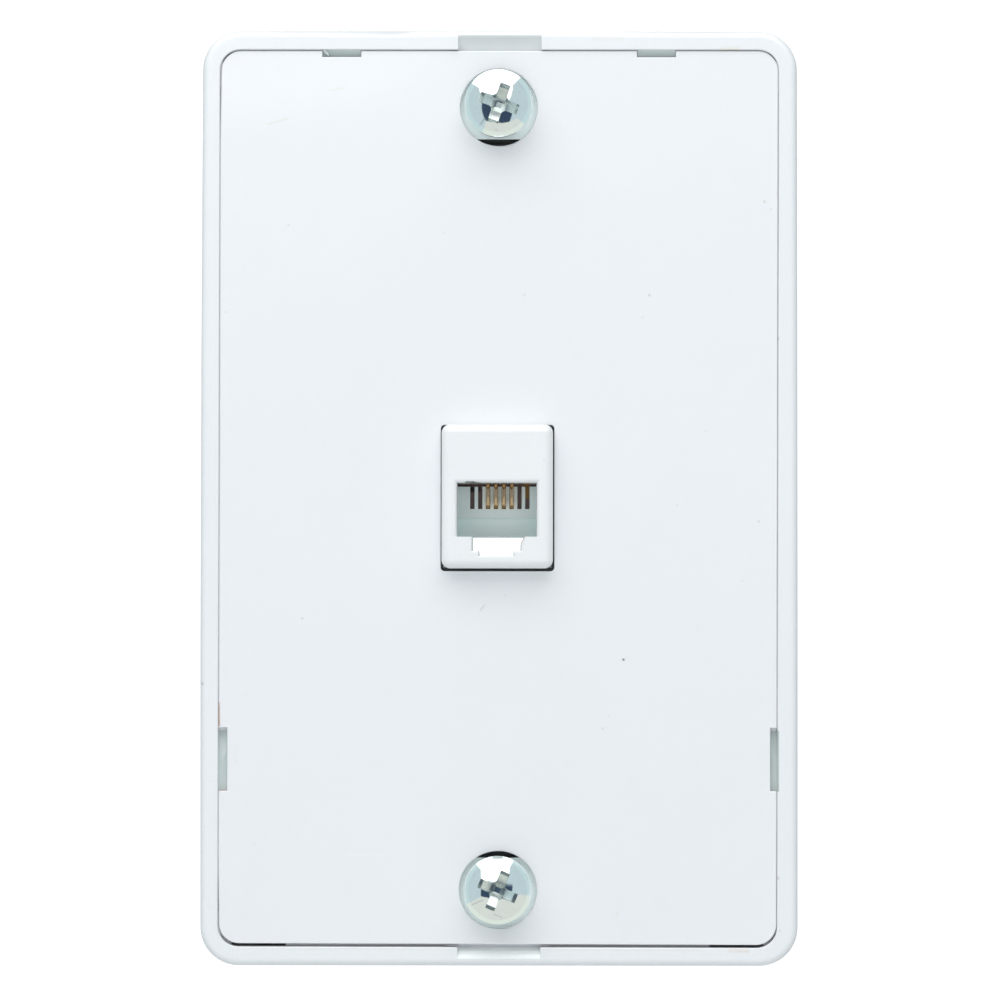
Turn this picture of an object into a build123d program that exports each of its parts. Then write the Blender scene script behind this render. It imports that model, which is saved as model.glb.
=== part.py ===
from build123d import *
import os
from math import radians, degrees, sin, cos, tan, atan2

# Telephone wall socket: a white wall plate with a modular jack and two studs that a
# wall telephone hangs on.  Millimetres.  The part is built lying on its back:
#   u = to the right, v = up the wall, h = out from the wall,
# and is stood up at the end, so that u -> +X, v -> +Z and h -> -Y.
# The origin is the middle of the wall plane.

# ---------------------------------------------------------------- driving dimensions
# outer frame: its four sides at the corners, and how far each swells at its middle
FRAME_L, FRAME_RT, FRAME_B, FRAME_T, FRAME_D = -38.47, 38.85, -60.60, 60.75, 10.0
BOW_L, BOW_RT, BOW_B, BOW_T = 0.14, 0.05, 0.0, 0.09
FRAME_R = 5.0            # outer corner radius
FRAME_EDGE = 0.9         # rounded front outer edge
# opening that takes the faceplate; the moulding is a little out of square
POCKET = [(-36.23, -58.12), (36.15, -58.26), (36.48, 58.33), (-36.25, 58.29)]
POCKET_R = 2.7
LIP_U = {1: 36.22, -1: 36.24}                   # its sides beside the side hooks
LIP_V = {1: 58.31, -1: 58.19}                   # its top and bottom
FLOOR_BACK, FLOOR_FRONT = 0.5, 2.1              # closed floor of the frame

# faceplate: corners, and the points where its left edge starts to draw in
PLATE = [(-36.03, -57.71), (36.06, -57.88), (36.38, 58.23), (-36.04, 58.19),
         (-36.18, 46.0), (-36.17, -46.0)]
PLATE_R = 2.6
PLATE_FRONT, PLATE_T = 9.7, 2.0
PLATE_EDGE = 0.15
PLATE_BACK = PLATE_FRONT - PLATE_T

STUD_PITCH = 101.6       # standard spacing of wall-phone studs
STUD_V = 0.15            # both studs stand this far above the middle of their holes
STUD_HOLE_R = 5.03       # clearance hole in the faceplate
HEAD_R, HEAD_RIM, DOME_H = 4.4, 0.6, 2.2
HEAD_UNDER = 12.7        # underside of the head, 3 mm proud of the faceplate
NECK_R, COLLAR_R, COLLAR_T = 2.5, 3.4, 1.0
SHANK_R, SHANK_END = 1.7, 1.4
NUT_AF, NUT_T = 6.0, 2.8
RECESS_ARM, RECESS_DEEP = 2.62, 2.7
RECESS_WIDE = (1.36, 1.24)                      # across the arms, top and bottom
RECESS_AT = ((0.07, -0.20), (0.0, 0.0))         # where each recess sits on its head
STUD_TURN = (-19.0, -23.2)                      # how the two recesses stand, top and bottom

BRIDGE_IN = {1: 46.86, -1: 46.70}               # straight inner edge of each stud bridge
BRIDGE_HALF = 27.5       # half of its width
BRIDGE_T = 2.2
BRIDGE_WALL = 1.8
BRIDGE_INNER_WALL = 0.85  # thinner beside the stud, so that its nut has room
CORNER_LEDGE = 34.5      # small corner ledges start here
TOP_NOTCH = {1: 20.55, -1: -20.40}              # middles of the two notches in the plate's top edge
SIDE_NOTCH = {1: 35.33, -1: 35.07}              # inner edges of its two side notches

BOX_PITCH = 83.34        # standard spacing of the wall-box screws
SLOT_R, SLOT_LEN = 2.0, 6.0

JACK_U, JACK_V = -0.105, 0.11                   # middle of the jack's face
JACK_W, JACK_H, JACK_R, JACK_EDGE = 14.41, 18.61, 1.1, 1.05
JACK_FRONT, JACK_BACK = 12.9, -6.5
WINDOW_W, WINDOW_H, WINDOW_U, WINDOW_V = 14.72, 18.97, -0.07, -0.035
FLANGE_W, FLANGE_H = 17.3, 21.6
WINDOW_R = 0.5
FLANGE_BACK, FLANGE_FRONT = 6.3, 7.5
TUBE_GAP, TUBE_WALL, TUBE_BACK = 0.12, 1.5, -2.0

PLUG_L, PLUG_R, PLUG_TOP, PLUG_BOT = -5.27, 4.98, 1.82, -5.13
KEY_L, KEY_R, KEY_BOT = -3.34, 2.98, -6.95
KEY2_L, KEY2_R, KEY2_BOT = -2.46, 2.04, -7.60
KEY_EDGE = 0.22          # softened front edges of the keyway
COMB_FRONT, COMB_BACK = 1.9, 0.6
COMB_TOP, COMB_BOT, COMB_SLOT_BOT = 1.70, -2.50, -1.24
COMB_U, COMB_PITCH, COMB_SLOT = 0.23, 1.0326, 0.58
STOP_FRONT, STOP_BACK, STOP_BOT = 0.7, -0.7, -4.82

CARRIER_V0, CARRIER_V1 = 2.0, 5.0
CARRIER_FRONT, CARRIER_WALL = 11.3, 0.1
WIRE_D, WIRE_V = 0.52, 2.95
WIRE_U = [COMB_U + (i - 1.5) * COMB_PITCH for i in range(4)]
GROOVE = 0.66
RISE = 1.5               # wires 2 and 4 step up by this at the back

POST_U, POST_V, POST_R, POST_END = 16.5, 18.0, 4.6, -4.2
INSERT_R, INSERT_LEN = 2.6, 4.2
TERM_R = 1.7
LUG_T, LUG_W = 0.8, 6.6
WASHER_R, WASHER_T = 3.6, 0.6
LEAD_D = 1.3

os.makedirs("parts", exist_ok=True)


def block(u0, u1, v0, v1, h0, h1):
    """A box by its two corners."""
    return Pos((u0 + u1) / 2, (v0 + v1) / 2, (h0 + h1) / 2) * Box(u1 - u0, v1 - v0, h1 - h0)


def slab(w, l, r, h0, h1, u=0.0, v=0.0):
    """A plate with rounded corners."""
    return Pos(u, v, h0) * extrude(RectangleRounded(w, l, r), h1 - h0)


def rod(r, h0, h1, u=0.0, v=0.0):
    return Pos(u, v, (h0 + h1) / 2) * Cylinder(r, h1 - h0)


def prism_vh(points, u0, u1):
    """A closed outline in v and h, pulled along u."""
    face = Plane.YZ * make_face(Polyline(*points, close=True))
    return Pos(u0, 0, 0) * extrude(face, u1 - u0)


def prism_uh(points, v0, v1):
    """A closed outline in u and h, pulled along v."""
    pts = [(u, v0, h) for u, h in points]
    face = make_face(Polyline(*pts, close=True))
    return extrude(face, v1 - v0, dir=(0, 1, 0))


def edges_at(shape, h, inside=None):
    """The edges that lie wholly in the plane at height h."""
    out = []
    for e in shape.edges():
        b = e.bounding_box()
        if abs(b.min.Z - h) < 1e-4 and abs(b.max.Z - h) < 1e-4:
            if inside is None or inside(b):
                out.append(e)
    return out


def one(shape):
    """The single solid of a shape."""
    s = shape.solids()
    assert len(s) == 1, len(s)
    return s[0]


def stand(shape):
    """From lying on its back to standing on the wall."""
    return Rot(90, 0, 0) * shape


def write(name, *solids):
    items = [stand(s) for s in solids]
    shape = items[0] if len(items) == 1 else Compound(children=items)
    export_step(shape, f"parts/{name}.step")


# ---------------------------------------------------------------- base frame


def outline(corners, radius, eased=()):
    """A flat face with straight sides; its listed corners are rounded."""
    face = make_face(Polyline(*corners, close=True))
    keep = [v for v in face.vertices()
            if not any(abs(v.X - u) < 1e-6 and abs(v.Y - w) < 1e-6 for u, w in eased)]
    return fillet(keep, radius)


mid_u, mid_v = (FRAME_L + FRAME_RT) / 2, (FRAME_B + FRAME_T) / 2
rim = make_face([ThreePointArc((FRAME_L, FRAME_B), (FRAME_L - BOW_L, mid_v - 12), (FRAME_L, FRAME_T)),
                 ThreePointArc((FRAME_L, FRAME_T), (mid_u, FRAME_T + BOW_T), (FRAME_RT, FRAME_T)),
                 ThreePointArc((FRAME_RT, FRAME_T), (FRAME_RT + BOW_RT, mid_v), (FRAME_RT, FRAME_B)),
                 Line((FRAME_RT, FRAME_B), (FRAME_L, FRAME_B))])
rim = fillet(rim.vertices(), FRAME_R)
frame = extrude(rim, FRAME_D)
frame = fillet(edges_at(frame, FRAME_D), FRAME_EDGE)
frame -= Pos(0, 0, FLOOR_FRONT) * extrude(outline(POCKET, POCKET_R), FRAME_D)
inner_lip = edges_at(frame, FRAME_D, lambda b: abs(b.max.X) < 37.2 and abs(b.min.X) < 37.2
                     and abs(b.max.Y) < 59.2 and abs(b.min.Y) < 59.2)
frame = fillet(inner_lip, 0.15)
frame = chamfer([e for e in edges_at(frame, 0)], 0.3)
# shallow recess behind the floor, so the plate seats on its rim
frame -= slab(72.4, 116.2, POCKET_R, -1, FLOOR_BACK, 0.1, 0.05)

# bridges that carry the studs, open to the wall behind
for s in (1, -1):
    lo, hi = sorted((s * BRIDGE_IN[s], s * (LIP_V[s] + 0.4)))
    frame += block(-BRIDGE_HALF, BRIDGE_HALF, lo, hi, FLOOR_BACK, PLATE_BACK)
    lo, hi = sorted((s * (BRIDGE_IN[s] + BRIDGE_INNER_WALL), s * (LIP_V[s] - 0.4)))
    frame -= block(-BRIDGE_HALF + BRIDGE_WALL, BRIDGE_HALF - BRIDGE_WALL, lo, hi,
                   -1, PLATE_BACK - BRIDGE_T)
    # corner ledges
    for t in (1, -1):
        a, b = sorted((t * CORNER_LEDGE, t * (LIP_U[t] + 0.6)))
        lo, hi = sorted((s * (LIP_V[s] - 4.5), s * (LIP_V[s] + 0.2)))
        ledge = block(a, b, lo, hi, FLOOR_BACK, PLATE_BACK)
        frame += ledge & slab(75.4, 119.0, FRAME_R - 1, 0, FRAME_D, mid_u, mid_v)
    # stud holes and wall-box slots
    frame -= rod(SHANK_R + 0.15, 0, PLATE_BACK + 0.5, 0, s * STUD_PITCH / 2 + STUD_V)
    frame -= Pos(0, s * BOX_PITCH / 2, 0) * extrude(
        Rot(0, 0, 90) * SlotOverall(SLOT_LEN, 2 * SLOT_R), FLOOR_FRONT + 1)

# tube that takes the jack, its walls running on behind the floor
tw = JACK_W + 2 * TUBE_GAP
th = JACK_H + 2 * TUBE_GAP
tube = slab(tw + 2 * TUBE_WALL, th + 2 * TUBE_WALL, 1.6, TUBE_BACK, FLANGE_BACK, JACK_U, JACK_V)
frame += tube

# terminal posts and their ribs, behind the floor
post_at = [(-POST_U, -POST_V), (-POST_U, POST_V), (POST_U, -POST_V), (POST_U, POST_V)]
for pu, pv in post_at:
    frame += rod(POST_R, POST_END, FLOOR_FRONT, pu, pv)
    s = 1 if pu > 0 else -1
    t = 1 if pv > 0 else -1
    a, b = sorted((0.0, pu))
    frame += block(pu - 0.8, pu + 0.8, *sorted((0.0, pv)), TUBE_BACK + 0.4, FLOOR_BACK + 0.2)
for t in (1, -1):
    frame += block(-POST_U, POST_U, t * POST_V - 0.8, t * POST_V + 0.8,
                   TUBE_BACK + 0.4, FLOOR_BACK + 0.2)
frame += block(-POST_U, POST_U, -0.8, 0.8, TUBE_BACK + 0.4, FLOOR_BACK + 0.2)
for pu, pv in post_at:
    frame -= rod(INSERT_R, POST_END - 1, POST_END + INSERT_LEN + 0.6, pu, pv)
frame -= slab(tw, th, JACK_R + TUBE_GAP, TUBE_BACK - 1, FLANGE_BACK + 1, JACK_U, JACK_V)

# snap hooks over the faceplate's lips: two at the top, one on each side
HOOK_LIP = PLATE_BACK + 0.8
vt = LIP_V[1]
for s in (1, -1):
    cu = TOP_NOTCH[s]
    frame += prism_vh([(vt + 0.3, HOOK_LIP + 0.02), (vt + 0.3, 9.7), (vt - 0.05, 9.5),
                       (vt - 0.86, 8.75), (vt - 0.86, HOOK_LIP + 0.02)],
                      cu - 2.45, cu + 2.45)
    ut, tip = LIP_U[s], SIDE_NOTCH[s] + 0.04
    nose = prism_uh([(s * (ut + 0.3), HOOK_LIP + 0.02), (s * (ut + 0.3), 9.6), (s * ut, 9.42),
                     (s * tip, 9.05), (s * tip, HOOK_LIP + 0.02)], -37.93, -30.28)
    ramp = prism_vh([(-37.93, HOOK_LIP + 0.02), (-37.93, 9.45), (-34.2, 9.25), (-30.28, 8.75),
                     (-30.28, HOOK_LIP + 0.02)], *sorted((s * (ut - 1.3), s * (ut + 0.4))))
    frame += nose & ramp
# a sliver of moulding flash stands across the left end of the upper left hook
flash = make_face(Polyline((-22.80, 58.45), (-22.58, 58.45), (-22.08, 57.84), (-22.10, 57.56),
                           (-22.27, 57.56), (-22.80, 58.16), close=True))
frame += Pos(0, 0, 8.6) * extrude(flash, 1.05)

# pry notches in the front lip, each with a ramp that rolls over and runs down to the faceplate
for s, c, half, ramp in ((1, 0.17, 5.42, [(0, 8.7), (1.3, 9.60), (1.65, 9.86), (2.0, FRAME_D)]),
                         (-1, 0.16, 5.38, [(0, 8.0), (0.55, 9.05), (0.95, 9.62), (1.2, 9.84), (1.5, FRAME_D)])):
    w = LIP_V[s]
    frame -= prism_vh([(s * (w + d), h) for d, h in ramp]
                      + [(s * (w + ramp[-1][0]), FRAME_D + 1), (s * (w - 0.2), FRAME_D + 1),
                         (s * (w - 0.2), ramp[0][1] - 0.05)],
                      c - half, c + half)
frame = one(frame)
write("base_frame", frame)

# ---------------------------------------------------------------- faceplate
sheet = outline(PLATE, PLATE_R, PLATE[4:])
plate = Pos(0, 0, PLATE_BACK) * extrude(sheet, PLATE_T)
for s in (1, -1):
    plate -= rod(STUD_HOLE_R, PLATE_BACK - 1, PLATE_FRONT + 1, 0.05, s * STUD_PITCH / 2)
plate -= slab(WINDOW_W, WINDOW_H, WINDOW_R, PLATE_BACK - 1, PLATE_FRONT + 1, WINDOW_U, WINDOW_V)
# edge notches; a lip stays behind each for the hook
for s in (1, -1):
    cu = TOP_NOTCH[s]
    plate -= block(cu - 2.51, cu + 2.51, 57.40, 59, HOOK_LIP, PLATE_FRONT + 1)
    plate -= block(*sorted((s * SIDE_NOTCH[s], s * 37)), -37.97, -29.85, HOOK_LIP, PLATE_FRONT + 1)
plate = fillet(edges_at(plate, PLATE_FRONT), PLATE_EDGE)
# two stiffening ribs on the back
for s in (1, -1):
    plate += block(s * 30 - 0.6, s * 30 + 0.6, -42, 42, PLATE_BACK - 2.0, PLATE_BACK + 0.1)
plate = one(plate)
write("faceplate", plate)

# ---------------------------------------------------------------- jack housing
jack = slab(JACK_W, JACK_H, JACK_R, JACK_BACK, JACK_FRONT, JACK_U, JACK_V)
jack = fillet(edges_at(jack, JACK_FRONT), JACK_EDGE)
jack += slab(FLANGE_W, FLANGE_H, 1.2, FLANGE_BACK, FLANGE_FRONT, JACK_U, JACK_V)
# plug cavity and stepped keyway
cavity = block(PLUG_L, PLUG_R, PLUG_BOT, PLUG_TOP, STOP_FRONT, JACK_FRONT + 1)
key = make_face(Polyline((KEY_L, PLUG_BOT + 0.3), (KEY_L, KEY_BOT), (KEY2_L, KEY_BOT),
                         (KEY2_L, KEY2_BOT), (KEY2_R, KEY2_BOT), (KEY2_R, KEY_BOT),
                         (KEY_R, KEY_BOT), (KEY_R, -5.85), (KEY_R + 0.42, PLUG_BOT),
                         (KEY_R + 0.42, PLUG_BOT + 0.3), close=True))
keyway = Pos(0, 0, JACK_BACK - 1) * extrude(key, JACK_FRONT - JACK_BACK + 2)
jack -= cavity
jack -= keyway
# softened edge round the plug opening
mouth = [e for e in edges_at(jack, JACK_FRONT)
         if PLUG_L - 0.05 < e.center().X < PLUG_R + 0.05 and KEY2_BOT - 0.05 < e.center().Y < PLUG_TOP + 0.05]
big = [e for e in mouth if e.center().Y > PLUG_BOT - 0.01 and e.length > 6.5]
jack = fillet(big, 0.55)
low = edges_at(jack, JACK_FRONT, lambda b: KEY_L - 0.05 < b.min.X and b.max.X < KEY_R + 0.5
               and KEY2_BOT - 0.05 < b.min.Y and b.max.Y < PLUG_BOT + 0.05)
jack = fillet(low, KEY_EDGE)
# room for the contact carrier, from the back
jack -= block(-5.5, 5.1, PLUG_TOP, CARRIER_V1, JACK_BACK - 1, CARRIER_FRONT + 0.1)
jack -= block(-5.4, 5.0, -1.9, PLUG_TOP + 0.1, JACK_BACK - 1, STOP_BACK)
jack -= block(-4.3, 3.9, -3.9, -1.8, JACK_BACK - 1, STOP_BACK)
# the stop wall is open under its lower edge, into the keyway
jack -= block(KEY_L, KEY_R, PLUG_BOT, STOP_BOT, JACK_BACK - 1, STOP_FRONT + 0.1)
jack -= block(PLUG_L, PLUG_R, -1.9, PLUG_TOP + 0.05, STOP_BACK - 0.1, STOP_FRONT + 0.1)
# comb
comb = block(PLUG_L - 0.2, PLUG_R + 0.2, COMB_BOT, COMB_TOP, COMB_BACK, COMB_FRONT)
comb += block(PLUG_L - 0.2, PLUG_R + 0.2, -2.6, COMB_BOT + 0.4, STOP_BACK + 0.2, COMB_BACK + 0.2)
for i in range(8):
    c = COMB_U + (i - 3.5) * COMB_PITCH
    comb -= block(c - COMB_SLOT / 2, c + COMB_SLOT / 2, COMB_SLOT_BOT, COMB_TOP + 1,
                  COMB_BACK - 1, COMB_FRONT + 1)
jack += comb
# latch wedges that hold it behind the tube
for s in (1, -1):
    x0 = JACK_U + s * JACK_W / 2
    jack += prism_uh([(x0 - s * 0.2, TUBE_BACK - 0.05), (x0 + s * 0.5, TUBE_BACK - 0.05),
                      (x0 + s * 0.5, TUBE_BACK - 0.4), (x0 - s * 0.2, TUBE_BACK - 1.9)],
                     JACK_V - 2.6, JACK_V + 2.6)
jack = one(jack)
write("jack_housing", jack)

# ---------------------------------------------------------------- contact carrier
carrier = block(-5.45, 5.05, CARRIER_V0, CARRIER_V1, JACK_BACK, CARRIER_FRONT)
carrier += block(-5.35, 4.95, -1.85, CARRIER_V0 + 0.1, JACK_BACK, CARRIER_WALL - 0.85)
for i, wu in enumerate(WIRE_U):
    carrier -= block(wu - GROOVE / 2, wu + GROOVE / 2, CARRIER_V0 - 0.5, WIRE_V + WIRE_D / 2 + 0.01,
                     CARRIER_WALL - 0.85, CARRIER_FRONT + 1)
    if i % 2 == 0:
        carrier -= block(wu - GROOVE / 2, wu + GROOVE / 2, WIRE_V - 0.36, WIRE_V + 0.36,
                         JACK_BACK - 1, CARRIER_WALL + 1.1)
    else:
        carrier -= block(wu - GROOVE / 2, wu + GROOVE / 2, WIRE_V - 0.36, WIRE_V + RISE + 0.36,
                         JACK_BACK - 1, CARRIER_WALL - 0.5)
carrier = one(carrier)
write("contact_carrier", carrier)

# ---------------------------------------------------------------- contact wires
BEND_H = 10.9
TIP_V, TIP_H = COMB_SLOT_BOT + WIRE_D / 2 + 0.015, 0.85


def tube_along(points, radii, d):
    """A round wire or lead along straight runs joined by tangent arcs."""
    path = FilletPolyline(*points, radius=radii)
    w = path.wire() if hasattr(path, "wire") else path
    start = Plane(origin=w.position_at(0), z_dir=w.tangent_at(0))
    solid = sweep(start * Circle(d / 2), path=w, transition=Transition.RIGHT)
    return one(solid), w.length


wires = []
for i, wu in enumerate(WIRE_U):
    pts, rad = [], []
    if i % 2 == 0:
        pts = [(wu, WIRE_V, JACK_BACK - 0.3)]
    else:
        pts = [(wu, WIRE_V + RISE, JACK_BACK - 0.3), (wu, WIRE_V + RISE, -4.4), (wu, WIRE_V, -2.7)]
        rad = [0.8, 0.8]
    pts += [(wu, WIRE_V, BEND_H), (wu, 1.45, BEND_H), (wu, TIP_V, TIP_H)]
    rad += [0.68, 0.68]
    solid, length = tube_along(pts, rad, WIRE_D)
    wires.append(solid)
    write(f"contact_wire_{i + 1}", solid)
    print("wire", i + 1, "length", round(length, 2), "volume", round(solid.volume, 4),
          "section x length", round(3.14159265 * (WIRE_D / 2) ** 2 * length, 4))

# ---------------------------------------------------------------- studs and their nuts


def cross_plan(w, r):
    """A plus sign with arms 2w wide; its four inner corners are rounded."""
    n = 5.0
    face = make_face(Polyline((w, w), (n, w), (n, -w), (w, -w), (w, -n), (-w, -n), (-w, -w), (-n, -w),
                              (-n, w), (-w, w), (-w, n), (w, n), close=True))
    return fillet([v for v in face.vertices() if abs(abs(v.X) - w) < 1e-6 and abs(abs(v.Y) - w) < 1e-6], r)


def recess(turn, wide, at):
    """Cross recess: four arms with steep ends and sloping floors round a pit, turned and set on the head."""
    top = HEAD_UNDER + HEAD_RIM + DOME_H
    w = wide / 2
    arms = loft([Plane.XY.offset(top - 3.4) * cross_plan(w - 0.14, 0.34),
                 Plane.XY.offset(top + 0.7) * cross_plan(w + 0.06, 0.66)], ruled=True)
    # half sizes of the square floor steps at each height below the crown
    steps = [(0.6, RECESS_ARM + 0.70), (-1.45, RECESS_ARM - 0.48), (-2.25, 0.95), (-RECESS_DEEP, 0.35)]
    floor = None
    for (h1, s1), (h0, s0) in zip(steps, steps[1:]):
        part = loft([Plane.XY.offset(top + h0) * Rectangle(2 * s0, 2 * s0),
                     Plane.XY.offset(top + h1) * Rectangle(2 * s1, 2 * s1)], ruled=True)
        floor = part if floor is None else floor + part
    return Pos(*at, 0) * (Rot(0, 0, turn) * (arms & floor))


dome_r = (HEAD_R ** 2 + DOME_H ** 2) / (2 * DOME_H)
studs, nuts = [], []
for s, turn, wide, at in zip((1, -1), STUD_TURN, RECESS_WIDE, RECESS_AT):
    rim = HEAD_UNDER + HEAD_RIM
    top = rim + DOME_H
    # half section in u and h, turned about the stud's axis
    half = dome_r * sin(atan2(HEAD_R, dome_r - DOME_H) / 2)
    mid = (half, top - dome_r + (dome_r ** 2 - half ** 2) ** 0.5)
    section = [Line((0, SHANK_END), (SHANK_R - 0.35, SHANK_END)),
               Line((SHANK_R - 0.35, SHANK_END), (SHANK_R, SHANK_END + 0.35)),
               Line((SHANK_R, SHANK_END + 0.35), (SHANK_R, PLATE_BACK)),
               Line((SHANK_R, PLATE_BACK), (COLLAR_R, PLATE_BACK)),
               Line((COLLAR_R, PLATE_BACK), (COLLAR_R, PLATE_BACK + COLLAR_T)),
               Line((COLLAR_R, PLATE_BACK + COLLAR_T), (NECK_R, PLATE_BACK + COLLAR_T)),
               Line((NECK_R, PLATE_BACK + COLLAR_T), (NECK_R, HEAD_UNDER)),
               Line((NECK_R, HEAD_UNDER), (HEAD_R, HEAD_UNDER)),
               Line((HEAD_R, HEAD_UNDER), (HEAD_R, rim)),
               ThreePointArc((HEAD_R, rim), mid, (0, top)),
               Line((0, top), (0, SHANK_END))]
    stud = revolve(Plane.XZ * make_face(section), Axis.Z)
    stud -= recess(turn, wide, at)
    studs.append(one(Pos(0, s * STUD_PITCH / 2 + STUD_V, 0) * stud))
    nut_top = PLATE_BACK - BRIDGE_T
    nut = Pos(0, 0, nut_top - NUT_T) * extrude(
        RegularPolygon(radius=NUT_AF / 2, side_count=6, major_radius=False), NUT_T)
    corner = NUT_AF / 2 / cos(radians(30))
    nut &= Pos(0, 0, nut_top - NUT_T / 2) * chamfer(
        Cylinder(corner + 0.05, NUT_T).edges().filter_by(GeomType.CIRCLE), 0.4)
    nut -= rod(SHANK_R + 0.08, nut_top - 4, nut_top + 1)
    nuts.append(one(Pos(0, s * STUD_PITCH / 2 + STUD_V, 0) * nut))
write("hanger_screws", *studs)
write("hanger_nuts", *nuts)

# ---------------------------------------------------------------- terminals
inserts, washers, screws, lugs = [], [], [], []
colours = ["black", "yellow", "green", "red"]    # posts: lower left, upper left, lower right, upper right
wire_for = [0, 1, 2, 3]
# the way each lug's barrel points, seen from the front
barrel_dir = [(1.0, 0.55), (1.0, -0.35), (-1.0, 0.55), (-1.0, -0.35)]
for (pu, pv), (bu, bv) in zip(post_at, barrel_dir):
    ins = rod(INSERT_R, POST_END, POST_END + INSERT_LEN, pu, pv)
    ins -= rod(TERM_R + 0.08, POST_END - 1, POST_END + INSERT_LEN + 1, pu, pv)
    inserts.append(one(ins))
    n = (bu ** 2 + bv ** 2) ** 0.5
    bu, bv = bu / n, bv / n
    turn = Rot(0, 0, degrees(atan2(bv, bu)))
    # a fork tongue with a barrel, lying along +u before it is turned
    top = POST_END
    tongue = slab(LUG_W, LUG_W, 1.2, top - LUG_T, top, 0, 0)
    tongue += block(0, 5.4, -1.5, 1.5, top - LUG_T, top)
    tongue -= rod(TERM_R + 0.2, top - 2, top + 1)
    tongue -= block(-5, 0, -(TERM_R + 0.2), TERM_R + 0.2, top - 2, top + 1)
    barrel = Pos(6.9, 0, top - 1.25) * (Rot(0, 90, 0) * Cylinder(1.25, 4.2))
    barrel -= Pos(7.6, 0, top - 1.25) * (Rot(0, 90, 0) * Cylinder(LEAD_D / 2 + 0.05, 3.6))
    lug = Pos(pu, pv, 0) * (turn * (tongue + barrel))
    lugs.append(one(lug))
    wsh = rod(WASHER_R, top - LUG_T - WASHER_T, top - LUG_T, pu, pv)
    wsh -= rod(TERM_R + 0.2, top - 3, top + 1, pu, pv)
    washers.append(one(wsh))
    under = top - LUG_T - WASHER_T
    scr = rod(3.2, under - 1.5, under, pu, pv)
    scr = fillet(edges_at(scr, under - 1.5), 0.6)
    scr += rod(TERM_R, under - 0.1, POST_END + INSERT_LEN - 0.6, pu, pv)
    scr -= Pos(pu, pv, under - 1.5) * (Rot(0, 0, 30 + 17 * len(screws)) * Box(8, 1.0, 1.3))
    screws.append(one(scr))
write("terminal_inserts", *inserts)
write("terminal_washers", *washers)
write("terminal_screws", *screws)
for c, s in zip(colours, lugs):
    write(f"spade_lug_{c}", s)

# ---------------------------------------------------------------- leads
LEAD_BACK = -13.6
for k, ((pu, pv), (bu, bv)) in enumerate(zip(post_at, barrel_dir)):
    n = (bu ** 2 + bv ** 2) ** 0.5
    bu, bv = bu / n, bv / n
    wu = WIRE_U[wire_for[k]]
    wv = WIRE_V + (RISE if wire_for[k] % 2 else 0.0)
    hb = POST_END - 1.25
    end = (pu + bu * 6.0, pv + bv * 6.0, hb)
    out = (pu + bu * 11.0, pv + bv * 11.0, hb)
    s = 1 if pu > 0 else -1
    t = 1 if pv > 0 else -1
    start = (wu, wv, JACK_BACK - 0.3)
    if t > 0:
        mids = [(wu, wv, LEAD_BACK), (wu + s * 5.2, wv + 4.2, LEAD_BACK + 0.4)]
    else:
        mids = [(wu, wv, LEAD_BACK), (wu + s * 7.4, wv - 1.6, LEAD_BACK + 0.2),
                (s * 9.6, wv - 9.4, LEAD_BACK + 2.4)]
    pts = [start, *mids, out, end]
    rads = []
    for j in range(1, len(pts) - 1):
        a = Vector(*pts[j]) - Vector(*pts[j - 1])
        b = Vector(*pts[j + 1]) - Vector(*pts[j])
        ang = a.get_angle(b)
        reach = 0.45 * min(a.length, b.length)
        if j == len(pts) - 2:
            reach = min(reach, 1.9)      # the arc ends before the barrel's mouth
        rads.append(round(min(reach / tan(radians(ang / 2)), 14.0), 3))
    solid, length = tube_along(pts, rads, LEAD_D)
    print("lead", colours[k], "length", round(length, 1), "radii", rads,
          "volume", round(solid.volume, 3), "section x length",
          round(3.14159265 * (LEAD_D / 2) ** 2 * length, 3))
    write(f"lead_{colours[k]}", solid)
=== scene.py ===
import bpy
import bmesh
import math
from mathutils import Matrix, Quaternion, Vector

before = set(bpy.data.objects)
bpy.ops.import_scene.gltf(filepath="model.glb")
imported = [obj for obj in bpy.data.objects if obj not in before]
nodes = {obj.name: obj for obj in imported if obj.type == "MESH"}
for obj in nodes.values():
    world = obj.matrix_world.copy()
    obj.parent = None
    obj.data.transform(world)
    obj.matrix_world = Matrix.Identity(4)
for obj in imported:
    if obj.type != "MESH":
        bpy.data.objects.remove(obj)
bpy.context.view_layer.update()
scene = bpy.context.scene
MM = 0.001

# ------------------------------------------------------------------ camera
# The photograph looks square at the plate from a little below its middle.
PLATE_Y = -9.7 * MM
CAM = Vector((0.5 * MM, PLATE_Y - 0.620, -20.0 * MM))
AIM = Vector((0.25 * MM, PLATE_Y, -0.295 * MM))
ROLL = math.radians(0.067)
cam_data = bpy.data.cameras.new("camera")
cam = bpy.data.objects.new("camera", cam_data)
scene.collection.objects.link(cam)
cam_data.sensor_width = 36.0
cam_data.lens = 172.08
cam_data.clip_start, cam_data.clip_end = 0.01, 50.0
cam.location = CAM
cam.rotation_mode = "QUATERNION"
cam.rotation_quaternion = (AIM - CAM).to_track_quat("-Z", "Y") @ Quaternion((0, 0, 1), ROLL)
scene.camera = cam

scene.view_settings.view_transform = "Standard"
scene.view_settings.look = "None"
scene.view_settings.exposure = 0.0
scene.view_settings.gamma = 1.0


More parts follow.
